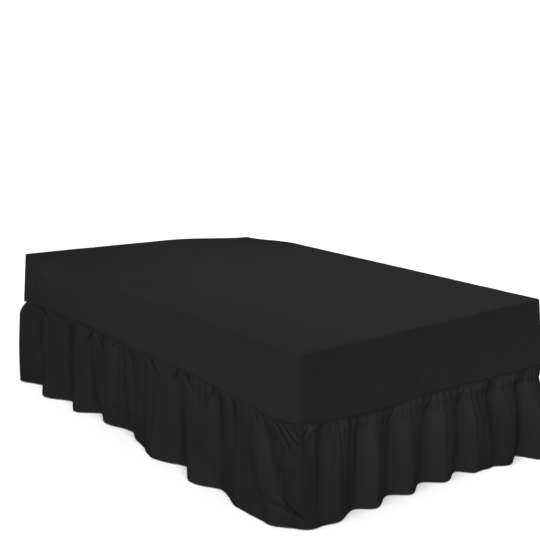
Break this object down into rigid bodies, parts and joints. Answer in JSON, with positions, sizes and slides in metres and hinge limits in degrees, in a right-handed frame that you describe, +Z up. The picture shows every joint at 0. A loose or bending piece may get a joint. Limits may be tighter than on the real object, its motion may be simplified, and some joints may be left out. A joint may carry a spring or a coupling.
{
  "type": "fitted valance sheet on a mattress and bed base",
  "caption": "Dark fitted valance sheet: a box-cornered panel over a mattress, with a gathered frill falling to the floor on both sides and the foot.",
  "frame": {"origin": "on the floor under the middle of the bed, at the centre of the base's underside", "axes": "+X across the bed, away from the side that shows; +Y along the bed towards the head; +Z up"},
  "size_m": [1.5778, 2.0733, 0.61],
  "materials": {
    "panel_cloth": "plain dyed polycotton, matt",
    "frill_cloth": "plain dyed polycotton, matt",
    "mattress_ticking": "plain woven ticking, matt",
    "base_fabric": "plain upholstery cloth, matt"
  },
  "bodies": {
    "root": {"fitted_panel": "panel_cloth", "frill": "frill_cloth", "mattress": "mattress_ticking", "bed_base": "base_fabric"}
  },
  "joints": []
}
